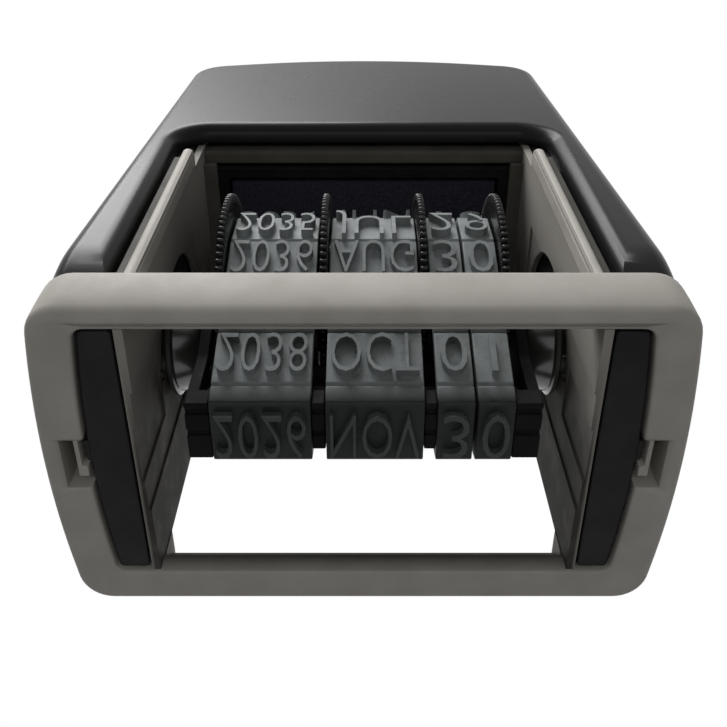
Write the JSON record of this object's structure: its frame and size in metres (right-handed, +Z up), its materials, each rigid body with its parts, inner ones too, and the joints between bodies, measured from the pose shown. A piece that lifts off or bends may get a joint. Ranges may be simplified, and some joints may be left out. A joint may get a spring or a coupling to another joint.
{
  "type": "self-inking date stamp",
  "caption": "Small self-inking date stamp: foot frame, glossy sliding cover, ink tray with pad, and a date unit of toothed thumb wheels and faceted bands that turns over as the cover rises.",
  "frame": {"origin": "on the paper, under the middle of the foot ring", "axes": "+Z up away from the paper, +X to the right, and the open front with the date wheels faces -Y"},
  "size_m": [0.0422, 0.0244, 0.0578],
  "materials": {
    "grey_plastic": "satin",
    "gloss_black_plastic": "gloss",
    "satin_black_plastic": "satin",
    "slate_rubber": "matte",
    "inked_felt": "matte",
    "spring_steel": "satin"
  },
  "bodies": {
    "foot": {"foot_frame": "grey_plastic", "return_spring": "spring_steel"},
    "cover": {"cover": "gloss_black_plastic"},
    "tray": {"ink_tray": "satin_black_plastic", "ink_pad": "inked_felt"},
    "date_unit": {"left_cheek": "satin_black_plastic", "right_cheek": "satin_black_plastic", "left_pivot_hub": "satin_black_plastic", "right_pivot_hub": "satin_black_plastic", "print_bridge": "satin_black_plastic", "wheel_axle": "spring_steel", "tie_rod": "satin_black_plastic", "date_band_1": "slate_rubber", "date_band_2": "slate_rubber", "date_band_3": "slate_rubber", "date_band_4": "slate_rubber"},
    "wheel_1": {"thumb_wheel_1": "satin_black_plastic"},
    "wheel_2": {"thumb_wheel_2": "satin_black_plastic"},
    "wheel_3": {"thumb_wheel_3": "satin_black_plastic"},
    "wheel_4": {"thumb_wheel_4": "satin_black_plastic"}
  },
  "joints": [
    {"name": "cover_slide", "type": "slide", "parent": "foot", "child": "cover", "axis": [0, 0, 1], "range_m": [0, 0.007], "deforming": ["return_spring"]},
    {"name": "unit_flip", "type": "hinge", "parent": "cover", "child": "date_unit", "pos_m": [0, -0.00225, 0.013], "axis": [-1, 0, 0], "range_deg": [0, 180]},
    {"name": "tray_slide", "type": "slide", "parent": "foot", "child": "tray", "axis": [0, 1, 0], "range_m": [0, 0.016]},
    {"name": "thumb_wheel_1_spin", "type": "hinge", "parent": "date_unit", "child": "wheel_1", "pos_m": [-0.0104, -0.00225, 0.018], "axis": [1, 0, 0], "continuous": true},
    {"name": "thumb_wheel_2_spin", "type": "hinge", "parent": "date_unit", "child": "wheel_2", "pos_m": [-0.0029, -0.00225, 0.018], "axis": [1, 0, 0], "continuous": true},
    {"name": "thumb_wheel_3_spin", "type": "hinge", "parent": "date_unit", "child": "wheel_3", "pos_m": [0.00435, -0.00225, 0.018], "axis": [1, 0, 0], "continuous": true},
    {"name": "thumb_wheel_4_spin", "type": "hinge", "parent": "date_unit", "child": "wheel_4", "pos_m": [0.01025, -0.00225, 0.018], "axis": [1, 0, 0], "continuous": true}
  ],
  "couplings": [
    {"joint": "unit_flip", "follows": "cover_slide", "rad_per_m": 448.79}
  ]
}
